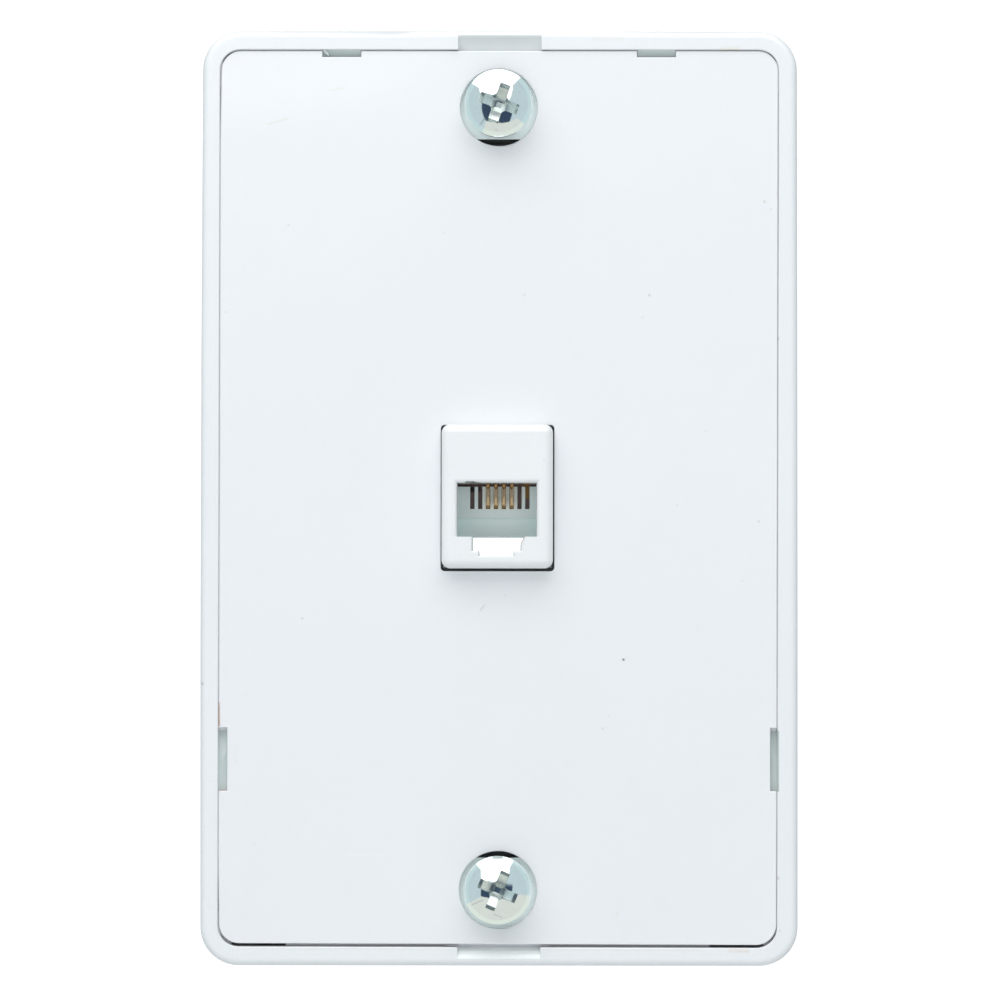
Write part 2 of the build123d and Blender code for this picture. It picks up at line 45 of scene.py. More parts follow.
# ------------------------------------------------------------------ node helpers
class Mat:
    """A node material with short ways to add nodes."""

    def __init__(self, name):
        self.m = bpy.data.materials.new(name)
        self.m.use_nodes = True
        self.nt = self.m.node_tree
        self.nt.nodes.clear()
        self.out = self.nt.nodes.new("ShaderNodeOutputMaterial")
        self.bsdf = self.nt.nodes.new("ShaderNodeBsdfPrincipled")
        self.nt.links.new(self.bsdf.outputs[0], self.out.inputs[0])
        self.coord = None

    def node(self, kind, **props):
        n = self.nt.nodes.new(kind)
        for k, v in props.items():
            setattr(n, k, v)
        return n

    def link(self, a, b):
        self.nt.links.new(a, b)

    def obj(self):
        if self.coord is None:
            self.coord = self.node("ShaderNodeTexCoord")
        return self.coord.outputs["Object"]

    def math(self, op, a, b=None, c=None, clamp=False):
        n = self.node("ShaderNodeMath", operation=op, use_clamp=clamp)
        for i, v in enumerate((a, b, c)):
            if v is None:
                continue
            if isinstance(v, (int, float)):
                n.inputs[i].default_value = v
            else:
                self.link(v, n.inputs[i])
        return n.outputs[0]

    def noise(self, scale, detail=3.0, rough=0.5, vec=None, distortion=0.0):
        n = self.node("ShaderNodeTexNoise")
        n.inputs["Scale"].default_value = scale
        n.inputs["Detail"].default_value = detail
        n.inputs["Roughness"].default_value = rough
        n.inputs["Distortion"].default_value = distortion
        self.link(vec if vec is not None else self.obj(), n.inputs["Vector"])
        return n.outputs["Fac"]

    def scaled(self, sx, sy, sz):
        """Object coordinates stretched along the axes."""
        n = self.node("ShaderNodeMapping")
        n.inputs["Scale"].default_value = (sx, sy, sz)
        self.link(self.obj(), n.inputs["Vector"])
        return n.outputs[0]

    def ramp(self, fac, lo, hi, a=0.0, b=1.0):
        n = self.node("ShaderNodeMapRange")
        n.inputs["From Min"].default_value = lo
        n.inputs["From Max"].default_value = hi
        n.inputs["To Min"].default_value = a
        n.inputs["To Max"].default_value = b
        n.clamp = True
        self.link(fac, n.inputs["Value"])
        return n.outputs["Result"]

    def mix(self, fac, a, b, blend="MIX"):
        n = self.node("ShaderNodeMix", data_type="RGBA", blend_type=blend)
        n.clamp_factor = True
        for sock, v in ((n.inputs["Factor"], fac), (n.inputs[6], a), (n.inputs[7], b)):
            if isinstance(v, (int, float)):
                sock.default_value = v
            elif isinstance(v, tuple):
                sock.default_value = (*v, 1.0)
            else:
                self.link(v, sock)
        return n.outputs[2]

    def bump(self, height, strength, distance, normal=None):
        n = self.node("ShaderNodeBump")
        n.inputs["Strength"].default_value = strength
        n.inputs["Distance"].default_value = distance
        self.link(height, n.inputs["Height"])
        if normal is not None:
            self.link(normal, n.inputs["Normal"])
        return n.outputs[0]

    def put(self, name, value):
        s = self.bsdf.inputs[name]
        if isinstance(value, (int, float)):
            s.default_value = value
        elif isinstance(value, tuple):
            s.default_value = (*value, 1.0)
        else:
            self.link(value, s)
        return self


def paint(name, mat):
    """Puts a material on a CAD node's slots."""
    o = nodes[name]
    if not o.material_slots:
        o.data.materials.append(mat)
    for s in o.material_slots:
        s.material = mat


# ------------------------------------------------------------------ materials
def photo_mm(px, py):
    """Where a point of the photograph lies on the plate, in metres."""
    return (px - 498.1) * 0.1297 * MM, (497.7 - py) * 0.1297 * MM


def stroke(m, x0, y0, x1, y1, width, soft=0.6, wobble=0.25, deep=False):
    """Mask of a short line between two points of the photograph, its edge a little ragged."""
    (ax, az), (bx, bz) = photo_mm(x0, y0), photo_mm(x1, y1)
    sep = m.node("ShaderNodeSeparateXYZ")
    m.link(m.obj(), sep.inputs[0])
    dx, dz = bx - ax, bz - az
    n2 = max(dx * dx + dz * dz, 1e-12)
    px = m.math("SUBTRACT", sep.outputs[0], ax)
    pz = m.math("SUBTRACT", sep.outputs[2], az)
    t = m.math("DIVIDE", m.math("ADD", m.math("MULTIPLY", px, dx), m.math("MULTIPLY", pz, dz)), n2, clamp=True)
    ex = m.math("SUBTRACT", px, m.math("MULTIPLY", t, dx))
    ez = m.math("SUBTRACT", pz, m.math("MULTIPLY", t, dz))
    d = m.math("SQRT", m.math("ADD", m.math("MULTIPLY", ex, ex), m.math("MULTIPLY", ez, ez)))
    w = width * 0.5 * MM
    ragged = m.math("MULTIPLY", m.math("SUBTRACT", m.noise(2600.0, 2.0), 0.5), w * 2.0 * wobble)
    near = m.ramp(m.math("ADD", d, ragged), w * (1.0 - soft), w * (1.0 + soft), 1.0, 0.0)
    if deep:
        return m.math("MULTIPLY", near, m.ramp(sep.outputs[1], 3.5 * MM, 3.0 * MM, 0.0, 1.0))
    front = m.ramp(sep.outputs[1], -8.4 * MM, -8.9 * MM, 0.0, 1.0)
    return m.math("MULTIPLY", near, front)


def marked(m, colour, marks):
    """Lays small marks over a colour: (x0, y0, x1, y1, width, tint, strength)."""
    for x0, y0, x1, y1, width, tint, strength in marks:
        mask = m.math("MULTIPLY", stroke(m, x0, y0, x1, y1, width), strength)
        colour = m.mix(mask, colour, tint)
    return colour


def white_plastic(name, colour, rough=0.42, grain=0.5, coat=0.0, marks=(), shade_fn=None):
    """Moulded white plastic: faint mottling, fine mould grain, uneven gloss and a few marks."""
    m = Mat(name)
    broad = m.noise(38.0, 3.0, 0.55)
    fine = m.noise(900.0, 2.0, 0.6)
    shade = m.mix(m.ramp(broad, 0.3, 0.7), tuple(c * 0.988 for c in colour), tuple(min(1.0, c * 1.006) for c in colour))
    speck = m.noise(2900.0, 1.0, 0.5)
    shade = m.mix(m.ramp(speck, 0.35, 0.65, 0.0, 1.0), shade,
                  m.mix(0.5, shade, tuple(min(1.0, c * k) for c, k in zip(colour, (1.035, 1.012, 1.0)))))
    shade = marked(m, shade, marks)
    if shade_fn is not None:
        shade = shade_fn(m, shade)
    m.put("Base Color", shade)
    m.put("Roughness", m.math("ADD", m.ramp(m.noise(160.0, 4.0, 0.6), 0.25, 0.75, rough - 0.05, rough + 0.06), m.math("MULTIPLY", fine, 0.03)))
    grainy = m.noise(5200.0, 2.0, 0.5)
    n1 = m.bump(grainy, 0.16 * grain, 0.00003)
    n2 = m.bump(m.noise(55.0, 2.0, 0.5), 0.10, 0.0002, n1)
    m.link(n2, m.bsdf.inputs["Normal"])
    m.bsdf.inputs["IOR"].default_value = 1.5
    m.bsdf.inputs["Specular IOR Level"].default_value = 0.45
    if coat:
        m.bsdf.inputs["Coat Weight"].default_value = coat
        m.bsdf.inputs["Coat Roughness"].default_value = 0.06
        m.link(m.bump(m.noise(40.0, 2.0, 0.5), 0.05, 0.0001), m.bsdf.inputs["Coat Normal"])
    return m


def inner_dark(m, shade):
    """Painted shade and painted light on the frame's hidden walls: darkened cavity floor, gap walls, hooks and upper
    pry notch, a lightened lower pry notch and head seats, and a faint painted glow.
    """
    sep = m.node("ShaderNodeSeparateXYZ")
    m.link(m.obj(), sep.inputs[0])
    ax = m.math("ABSOLUTE", m.math("SUBTRACT", sep.outputs[0], 0.10 * MM))
    az = m.math("ABSOLUTE", sep.outputs[2])
    depth = m.math("MULTIPLY", sep.outputs[1], -1.0)
    low = m.ramp(depth, 7.55 * MM, 7.66 * MM, 1.0, 0.0)
    floor_up = m.ramp(depth, 1.9 * MM, 2.05 * MM, 0.0, 1.0)
    middle = m.math("MULTIPLY", m.ramp(az, 46.88 * MM, 47.0 * MM, 1.0, 0.0), m.ramp(ax, 36.0 * MM, 36.1 * MM, 1.0, 0.0))
    inside = m.math("MULTIPLY", m.math("MULTIPLY", low, floor_up), middle)
    wall = m.math("MULTIPLY", m.ramp(depth, 9.0 * MM, 9.75 * MM, 1.0, 0.0), floor_up)
    ring = m.math("MAXIMUM",
                  m.math("MULTIPLY", m.ramp(ax, 35.9 * MM, 36.1 * MM, 0.0, 1.0), m.ramp(ax, 37.0 * MM, 37.4 * MM, 1.0, 0.0)),
                  m.math("MULTIPLY", m.ramp(az, 57.9 * MM, 58.1 * MM, 0.0, 1.0), m.ramp(az, 58.5 * MM, 58.9 * MM, 1.0, 0.0)))
    # neither band reaches round the frame's outer corners
    ring = m.math("MULTIPLY", ring, m.math("SUBTRACT", 1.0, m.math("MULTIPLY", m.ramp(ax, 36.2 * MM, 36.4 * MM), m.ramp(az, 58.0 * MM, 58.2 * MM))))
    ring = m.math("MULTIPLY", ring, m.ramp(m.math("ADD", ax, az), 94.9 * MM, 95.2 * MM, 1.0, 0.0))
    away = m.ramp(ax, 6.3 * MM, 6.9 * MM, 0.0, 1.0)
    side = m.math("MULTIPLY", m.math("MULTIPLY", wall, ring), m.ramp(az, 61.0 * MM, 61.5 * MM, 1.0, 0.0))
    # the hooks stand proud of the dark walls
    nz = m.math("ABSOLUTE", m.math("SUBTRACT", sep.outputs[2], -34.1 * MM))
    proud = m.ramp(depth, 8.50 * MM, 8.54 * MM, 0.0, 1.0)
    hook = m.math("MULTIPLY", m.math("MULTIPLY", m.ramp(nz, 3.9 * MM, 3.95 * MM, 1.0, 0.0), proud),
                  m.ramp(ax, 36.28 * MM, 36.36 * MM, 1.0, 0.0))
    side_hook = m.math("MULTIPLY", m.ramp(nz, 3.9 * MM, 3.95 * MM, 1.0, 0.0), proud)
    tx = m.math("ABSOLUTE", m.math("SUBTRACT", ax, 20.46 * MM))
    top_hook = m.math("MULTIPLY", m.math("MULTIPLY", m.ramp(tx, 2.5 * MM, 2.55 * MM, 1.0, 0.0), proud),
                      m.ramp(sep.outputs[2], 57.0 * MM, 57.2 * MM, 0.0, 1.0))
    top_hook = m.math("MULTIPLY", top_hook, m.ramp(sep.outputs[2], 58.28 * MM, 58.34 * MM, 1.0, 0.0))
    side = m.math("MULTIPLY", side, m.math("SUBTRACT", 1.0, m.math("MAXIMUM", side_hook, top_hook)))
    shade_mottle = m.noise(420.0, 3.0)
    # painted shade: the upper pry notch is darkened
    pry = m.math("MULTIPLY", m.ramp(ax, 5.45 * MM, 5.5 * MM, 1.0, 0.0), m.ramp(sep.outputs[2], 58.2 * MM, 58.3 * MM))
    pry = m.math("MULTIPLY", pry, m.ramp(depth, 9.90 * MM, 9.99 * MM, 1.0, 0.0))
    pry = m.math("MULTIPLY", pry, m.ramp(sep.outputs[2], 60.20 * MM, 60.32 * MM, 1.0, 0.0))
    shade = m.mix(m.math("MULTIPLY", pry, 0.6), shade, (0.70, 0.735, 0.74))
    # painted light: the bridge under each head is lighter and greener
    seat = m.math("MULTIPLY", m.ramp(ax, 6.0 * MM, 6.1 * MM, 1.0, 0.0), m.ramp(m.math("ABSOLUTE", m.math("SUBTRACT", az, 50.8 * MM)), 6.0 * MM, 6.1 * MM, 1.0, 0.0))
    seat = m.math("MULTIPLY", seat, m.ramp(depth, 7.66 * MM, 7.69 * MM))
    seat = m.math("MULTIPLY", seat, m.ramp(depth, 7.8 * MM, 7.9 * MM, 1.0, 0.0))
    shade = m.mix(seat, shade, (0.92, 1.0, 0.99))
    # painted light: the lower pry notch is lightened
    painted_lift = m.math("MULTIPLY", m.ramp(ax, 5.45 * MM, 5.5 * MM, 1.0, 0.0), m.ramp(sep.outputs[2], -58.25 * MM, -58.2 * MM, 1.0, 0.0))
    painted_lift = m.math("MULTIPLY", painted_lift, m.ramp(depth, 9.90 * MM, 9.99 * MM, 1.0, 0.0))
    painted_lift = m.math("MULTIPLY", painted_lift, m.ramp(depth, 7.8 * MM, 7.9 * MM))
    painted_lift = m.math("MULTIPLY", painted_lift, m.ramp(sep.outputs[2], -59.72 * MM, -59.60 * MM))
    shade = m.mix(painted_lift, shade, (0.90, 0.925, 0.925))
    # painted shade: the cavity floor behind the stud holes is darkened nearly to black, a little unevenly
    shade = m.mix(m.math("MULTIPLY", inside, m.ramp(shade_mottle, 0.3, 0.7, 0.86, 0.97)), shade, (0.10, 0.10, 0.10))
    # painted shade on the top and bottom walls round the faceplate's edge
    side = m.math("MULTIPLY", side, away)
    shade = m.mix(m.math("MULTIPLY", side, m.ramp(ax, 35.9 * MM, 36.1 * MM, 0.45, 0.0)), shade, (0.16, 0.155, 0.15))
    # painted light: the walls round the faceplate's edge glow a little, standing in for daylight through the thin lip
    glow = m.math("MULTIPLY", m.math("MULTIPLY", side, m.ramp(depth, 7.9 * MM, 8.1 * MM)), m.ramp(ax, 35.9 * MM, 36.1 * MM, 0.14, 0.32))
    m.put("Emission Color", m.mix(glow, (0.0, 0.0, 0.0), (0.96, 1.0, 1.0)))
    m.put("Emission Strength", 1.0)
    # painted shade on the side hooks, darkest at the upper end of each side hook
    hook_shade = m.mix(m.math("GREATER_THAN", sep.outputs[0], 0.0), (0.515, 0.573, 0.565), (0.46, 0.51, 0.50))
    hook_shade = m.mix(m.ramp(sep.outputs[2], -33.0 * MM, -30.3 * MM), hook_shade, (0.40, 0.45, 0.44))
    hook_shade = m.mix(m.ramp(sep.outputs[2], -37.9 * MM, -36.6 * MM, 0.6, 0.0), hook_shade, (0.40, 0.44, 0.42))
    shade = m.mix(m.math("MULTIPLY", hook, m.ramp(shade_mottle, 0.3, 0.7, 0.82, 0.95)), shade, hook_shade)
    # painted shade on the top hooks, darker towards their lower edge
    upper = m.mix(m.ramp(sep.outputs[2], 57.5 * MM, 58.3 * MM), (0.45, 0.50, 0.49), (0.62, 0.69, 0.67))
    return m.mix(m.math("MULTIPLY", top_hook, 0.9), shade, upper)


def jack_depth(m, shade):
    """Painted light and shade in and round the plug opening: lighter greener colour deep inside, a warm patch on the
    comb, darkened keyway and outer walls, and a faint painted glow.
    """
    sep = m.node("ShaderNodeSeparateXYZ")
    m.link(m.obj(), sep.inputs[0])
    depth = m.math("MULTIPLY", sep.outputs[1], -1.0)
    # painted light: deep in the opening the colour is lighter and greener
    deep = m.ramp(depth, 8.2 * MM, 11.8 * MM, 1.0, 0.0)
    shade = m.mix(deep, shade, (0.93, 0.985, 0.975))
    # warm light thrown back by the contact wires onto the middle of the comb
    across = m.math("ABSOLUTE", m.math("SUBTRACT", sep.outputs[0], 0.23 * MM))
    comb = m.math("MULTIPLY", m.ramp(across, 1.9 * MM, 2.5 * MM, 1.0, 0.0), m.ramp(sep.outputs[2], -1.5 * MM, -1.1 * MM, 0.0, 1.0))
    comb = m.math("MULTIPLY", comb, m.ramp(depth, 2.7 * MM, 4.2 * MM, 1.0, 0.0))
    comb = m.math("MULTIPLY", comb, m.ramp(depth, -0.9 * MM, -0.6 * MM))
    shade = m.mix(comb, shade, (0.97, 0.92, 0.82))
    # painted shade on the walls of the keyway, seen edge on
    key = m.math("MULTIPLY", m.ramp(sep.outputs[2], -5.2 * MM, -5.15 * MM, 1.0, 0.0), m.ramp(depth, 12.45 * MM, 12.65 * MM, 1.0, 0.0))
    key = m.math("MULTIPLY", key, m.ramp(m.math("ABSOLUTE", sep.outputs[0]), 4.5 * MM, 5.0 * MM, 1.0, 0.0))
    key = m.math("MULTIPLY", key, m.ramp(sep.outputs[2], -7.85 * MM, -7.80 * MM))
    key = m.math("MULTIPLY", key, m.ramp(depth, -5.2 * MM, -4.8 * MM))
    shade = m.mix(m.math("MULTIPLY", key, 0.8), shade, (0.20, 0.22, 0.20))
    # painted shade on the outer walls that stand inside the faceplate's window
    jx = m.math("ABSOLUTE", m.math("ADD", sep.outputs[0], 0.105 * MM))
    jz = m.math("ABSOLUTE", m.math("SUBTRACT", sep.outputs[2], 0.11 * MM))
    outer = m.math("MAXIMUM", m.ramp(jx, 7.00 * MM, 7.10 * MM), m.ramp(jz, 9.08 * MM, 9.18 * MM))
    outer = m.math("MULTIPLY", outer, m.ramp(depth, 9.3 * MM, 9.6 * MM, 1.0, 0.0))
    outer = m.math("MULTIPLY", outer, m.ramp(depth, 0.0 * MM, 1.5 * MM))
    # painted light: the thin walls behind the opening glow a little, standing in for daylight through them
    thin = m.math("MULTIPLY", m.ramp(depth, 2.2 * MM, 4.5 * MM, 1.0, 0.0), m.ramp(depth, -0.9 * MM, -0.6 * MM))
    thin = m.math("MULTIPLY", thin, m.ramp(m.math("ABSOLUTE", sep.outputs[0]), 5.3 * MM, 5.4 * MM, 1.0, 0.0))
    thin = m.math("MULTIPLY", thin, m.ramp(m.math("ABSOLUTE", m.math("ADD", sep.outputs[2], 1.7 * MM)), 3.6 * MM, 3.7 * MM, 1.0, 0.0))
    m.put("Emission Color", m.mix(thin, (0.0, 0.0, 0.0), (0.040, 0.061, 0.063)))
    m.put("Emission Strength", 1.0)
    return m.mix(m.math("MULTIPLY", outer, 0.9), shade, (0.07, 0.07, 0.07))


YELLOW, BROWN, GREYBLUE, DARK, RUST = (0.62, 0.60, 0.38), (0.36, 0.24, 0.14), (0.42, 0.50, 0.55), (0.06, 0.06, 0.06), (0.50, 0.20, 0.08)
plate_marks = [
    (267.5, 123.2, 286.0, 117.6, 0.22, YELLOW, 0.21), (329.5, 88.8, 344.0, 86.6, 0.17, YELLOW, 0.20),
    (623.4, 659.5, 623.7, 659.6, 0.27, DARK, 0.85), (287.5, 224.0, 287.8, 224.2, 0.25, DARK, 0.14),
    (524.0, 294.5, 524.3, 294.6, 0.22, DARK, 0.15), (649.3, 294.4, 649.7, 294.7, 0.28, DARK, 0.23),
    (642.5, 316.5, 642.8, 316.7, 0.22, DARK, 0.14), (764.5, 200.0, 765.4, 200.9, 0.26, BROWN, 0.30),
    (770.8, 207.8, 771.3, 208.2, 0.20, BROWN, 0.20), (443.5, 232.0, 443.8, 232.2, 0.22, DARK, 0.10),
    (302.4, 618.4, 302.7, 618.6, 0.25, DARK, 0.21), (480.9, 610.0, 484.4, 605.8, 0.26, (0.34, 0.40, 0.30), 0.25),
    (505.8, 595.4, 506.1, 595.6, 0.22, DARK, 0.15), (602.8, 728.0, 603.1, 728.2, 0.22, BROWN, 0.23),
    (608.8, 716.0, 609.1, 716.2, 0.20, GREYBLUE, 0.17), (758.6, 521.0, 759.4, 521.3, 0.26, BROWN, 0.25),
    (741.5, 580.0, 744.0, 580.8, 0.22, GREYBLUE, 0.14), (677.2, 505.0, 677.5, 505.2, 0.22, DARK, 0.11),
    (349.0, 854.6, 382.0, 854.9, 0.16, (0.95, 0.95, 0.92), 0.23), (254.0, 843.5, 256.0, 844.5, 0.25, YELLOW, 0.17),
    (616.0, 916.5, 619.0, 911.0, 0.24, YELLOW, 0.14), (244.5, 696.0, 249.0, 694.6, 0.18, YELLOW, 0.11),
    (236.4, 751.0, 236.9, 763.5, 0.24, YELLOW, 0.07),
    (218.9, 703.5, 219.3, 725.0, 0.30, RUST, 0.80), (219.5, 790.2, 227.0, 790.4, 0.24, RUST, 0.30),
    (705.5, 430.5, 706.0, 431.0, 0.22, DARK, 0.09), (225.0, 311.8, 225.3, 312.3, 0.22, DARK, 0.11),
]
frame_marks = [
    (723.0, 47.6, 738.0, 46.8, 0.55, (0.70, 0.58, 0.34), 0.21), (594.0, 37.4, 622.0, 37.6, 0.45, (0.76, 0.68, 0.46), 0.13),
    (729.5, 949.4, 748.0, 950.0, 0.42, (0.72, 0.42, 0.20), 0.21),
    (235.0, 947.2, 700.0, 948.9, 0.16, (0.66, 0.45, 0.30), 0.11), (202.6, 683.5, 203.0, 684.5, 0.30, DARK, 0.28),
    (777.9, 876.5, 778.2, 878.0, 0.26, BROWN, 0.28), (779.6, 929.0, 779.8, 930.0, 0.22, BROWN, 0.23),
    (778.6, 337.5, 778.8, 338.5, 0.22, BROWN, 0.25),
]
jack_marks = [
    (543.7, 460.6, 544.0, 461.8, 0.26, (0.62, 0.52, 0.38), 0.15),
    (524.3, 537.2, 521.2, 543.0, 0.34, (0.34, 0.22, 0.16), 0.45),
    (466.3, 483.0, 473.5, 482.9, 0.22, DARK, 0.85), (473.5, 482.9, 480.5, 484.2, 0.20, DARK, 0.7),
]
frame_mat = white_plastic("frame_white", (0.830, 0.835, 0.866), 0.42, 0.5, 0.5, frame_marks, inner_dark)
plate_mat = white_plastic("plate_white", (0.846, 0.845, 0.878), 0.46, 0.5, 0.9, plate_marks)
jack_mat = white_plastic("jack_white", (0.848, 0.850, 0.872), 0.36, 0.4, 0.6, jack_marks, jack_depth)

insert = Mat("dark_insert")
# a black patch at the left and an orange-brown patch at the right of the dark band
m_black = insert.math("MULTIPLY", stroke(insert, 466.0, 486.2, 477.0, 486.8, 0.75, deep=True), 0.9)
m_orange = insert.math("MULTIPLY", stroke(insert, 526.8, 484.0, 527.3, 492.5, 0.95, deep=True), 0.75)
brown = insert.mix(insert.noise(400.0), (0.27, 0.165, 0.15), (0.32, 0.20, 0.18))
brown = insert.mix(m_orange, brown, (0.62, 0.30, 0.06))
insert.put("Base Color", insert.mix(m_black, brown, (0.03, 0.03, 0.03)))
insert.put("Roughness", insert.ramp(insert.noise(700.0), 0.3, 0.7, 0.42, 0.55))
insert.link(insert.bump(insert.noise(4000.0), 0.2, 0.00003), insert.bsdf.inputs["Normal"])

gold = Mat("contact_gold")
gz = gold.node("ShaderNodeSeparateXYZ")
gold.link(gold.obj(), gz.inputs[0])
gold_lit = gold.mix(gold.noise(1200.0), (1.0, 0.58, 0.21), (1.0, 0.67, 0.27))
gold_shaded = gold.mix(gold.noise(1500.0), (0.40, 0.205, 0.075), (0.50, 0.26, 0.10))
# painted shade: each wire is browner on its flanks; 1.0326 mm from one wire to the next
off = gold.math("ADD", gz.outputs[0], (4.0 * 1.0326 - 0.23) * MM)
off = gold.math("ABSOLUTE", gold.math("SUBTRACT", gold.math("MODULO", off, 1.0326 * MM), 0.5163 * MM))
gold_lit = gold.mix(gold.ramp(off, 0.09 * MM, 0.20 * MM), gold_lit, (0.75, 0.36, 0.12))
gold_shaded = gold.mix(gold.ramp(off, 0.03 * MM, 0.17 * MM), gold_shaded, (0.78, 0.43, 0.16))
# painted highlight: the lower part of each wire is brighter than the upper part
along = gold.mix(gold.ramp(gz.outputs[2], -0.05 * MM, 0.30 * MM), gold_lit, gold_shaded)
# painted highlight: the bend at the very top is brighter again, and the tips are red-brown
along = gold.mix(gold.ramp(gz.outputs[2], 1.10 * MM, 1.45 * MM), along, (0.44, 0.27, 0.12))
gold.put("Base Color", gold.mix(gold.ramp(gz.outputs[2], -1.22 * MM, -1.10 * MM), (0.46, 0.15, 0.045), along))
gold.put("Metallic", gold.ramp(gz.outputs[2], -1.25 * MM, -0.90 * MM, 0.3, 1.0))
gold.put("Roughness", gold.ramp(gold.noise(2600.0), 0.3, 0.7, 0.16, 0.28))
gold.link(gold.bump(gold.noise(1.0, 3.0, 0.6, gold.scaled(9000.0, 300.0, 9000.0)), 0.25, 0.00002), gold.bsdf.inputs["Normal"])

chrome = Mat("stud_plating")
STUD_Z, DOME_Y, DOME_R = (50.95 * MM, -50.65 * MM), -10.0 * MM, 5.5 * MM


def stud_masks(m):
    """Where the recesses are (inside the dome's sphere), and coordinates measured from each head's axis."""
    sep = m.node("ShaderNodeSeparateXYZ")
    m.link(m.obj(), sep.inputs[0])
    x, y, z = sep.outputs
    side = m.math("GREATER_THAN", z, 0.0)
    centre = m.math("ADD", m.math("MULTIPLY", side, STUD_Z[0] - STUD_Z[1]), STUD_Z[1])
    dz = m.math("SUBTRACT", z, centre)
    dy = m.math("SUBTRACT", y, DOME_Y)
    r2 = m.math("ADD", m.math("MULTIPLY", x, x), m.math("MULTIPLY", dz, dz))
    axis_r = m.math("SQRT", r2)
    ball_r = m.math("SQRT", m.math("ADD", r2, m.math("MULTIPLY", dy, dy)))
    pit = m.math("MULTIPLY", m.ramp(ball_r, DOME_R - 0.10 * MM, DOME_R - 0.03 * MM, 1.0, 0.0),
                 m.math("MULTIPLY", m.ramp(axis_r, 3.9 * MM, 4.0 * MM, 1.0, 0.0), m.ramp(y, -12.7 * MM, -12.6 * MM, 1.0, 0.0)))
    return x, dz, axis_r, ball_r, pit


def head_scratch(m, x, dz, x0, z0, x1, z1, width):
    """A short line on a head, in millimetres from the head's axis."""
    ax, az, dx, dzz = x0 * MM, z0 * MM, (x1 - x0) * MM, (z1 - z0) * MM
    n2 = dx * dx + dzz * dzz
    px, pz = m.math("SUBTRACT", x, ax), m.math("SUBTRACT", dz, az)
    s = m.math("DIVIDE", m.math("ADD", m.math("MULTIPLY", px, dx), m.math("MULTIPLY", pz, dzz)), n2, clamp=True)
    ex, ez = m.math("SUBTRACT", px, m.math("MULTIPLY", s, dx)), m.math("SUBTRACT", pz, m.math("MULTIPLY", s, dzz))
    d = m.math("SQRT", m.math("ADD", m.math("MULTIPLY", ex, ex), m.math("MULTIPLY", ez, ez)))
    d = m.math("ADD", d, m.math("MULTIPLY", m.math("SUBTRACT", m.noise(3500.0, 2.0), 0.5), 0.10 * MM))
    return m.ramp(d, width * 0.3 * MM, width * 0.7 * MM, 1.0, 0.0)


hx, hz, head_r, dome_d, pit = stud_masks(chrome)
scratch = None
for head, lines in ((1, ((-1.80, -2.15, -2.45, -2.95, 0.16), (2.68, 1.25, 2.76, 1.30, 0.14), (-0.35, -2.55, 0.25, -2.70, 0.10))),
                    (-1, ((-3.55, -1.95, -1.95, -1.20, 0.12), (-0.45, -3.05, 0.55, -3.40, 0.10)))):
    zs = chrome.node("ShaderNodeSeparateXYZ")
    chrome.link(chrome.obj(), zs.inputs[0])
    here = chrome.math("GREATER_THAN" if head > 0 else "LESS_THAN", zs.outputs[2], 0.0)
    for line in lines:
        k = chrome.math("MULTIPLY", head_scratch(chrome, hx, hz, *line), here)
        scratch = k if scratch is None else chrome.math("MAXIMUM", scratch, k)
smudge = chrome.ramp(chrome.noise(900.0, 5.0, 0.65), 0.56, 0.72, 0.0, 0.5)
plate_tone = chrome.mix(chrome.noise(700.0), (0.84, 0.87, 0.875), (0.90, 0.925, 0.925))
plate_tone = chrome.mix(smudge, plate_tone, (0.76, 0.80, 0.79))
plate_tone = chrome.mix(chrome.math("MULTIPLY", scratch, 0.42), plate_tone, (0.30, 0.34, 0.37))
# painted reflection: the outer rim of each head is lighter and greener
plate_tone = chrome.mix(chrome.ramp(head_r, 3.7 * MM, 3.95 * MM), plate_tone, (0.93, 1.0, 0.975))
pit_tone = chrome.mix(chrome.noise(1300.0, 4.0), (0.70, 0.76, 0.74), (0.87, 0.91, 0.89))
chrome.put("Base Color", chrome.mix(pit, plate_tone, pit_tone))
chrome.put("Metallic", 1.0)
bright = chrome.ramp(chrome.noise(900.0, 4.0), 0.3, 0.75, 0.05, 0.12)
bright = chrome.math("MAXIMUM", bright, chrome.math("MULTIPLY", scratch, 0.35))
matte = chrome.ramp(chrome.noise(1100.0, 4.0), 0.3, 0.75, 0.19, 0.27)
chrome.put("Roughness", chrome.math("ADD", chrome.math("MULTIPLY", bright, chrome.math("SUBTRACT", 1.0, pit)), chrome.math("MULTIPLY", matte, pit)))
chrome.link(chrome.bump(chrome.noise(420.0, 3.0), 0.12, 0.0001), chrome.bsdf.inputs["Normal"])


def metal(name, a, b, r0, r1):
    m = Mat(name)
    m.put("Base Color", m.mix(m.noise(600.0, 4.0), a, b))
    m.put("Metallic", 1.0)
    m.put("Roughness", m.ramp(m.noise(1500.0, 4.0), 0.3, 0.7, r0, r1))
    m.link(m.bump(m.noise(2500.0, 3.0), 0.2, 0.00003), m.bsdf.inputs["Normal"])
    return m


zinc = metal("zinc_steel", (0.56, 0.59, 0.60), (0.70, 0.72, 0.71), 0.22, 0.38)
brass = metal("terminal_brass", (0.66, 0.47, 0.20), (0.80, 0.60, 0.30), 0.2, 0.34)
tinned = metal("tinned_copper", (0.62, 0.62, 0.60), (0.74, 0.74, 0.71), 0.25, 0.42)


def insulation(name, colour):
    m = Mat(name)
    m.put("Base Color", m.mix(m.noise(300.0), tuple(c * 0.88 for c in colour), tuple(min(1, c * 1.08) for c in colour)))
    m.put("Roughness", m.ramp(m.noise(800.0), 0.3, 0.7, 0.36, 0.5))
    m.link(m.bump(m.noise(1800.0, 3.0), 0.25, 0.00004), m.bsdf.inputs["Normal"])
    return m


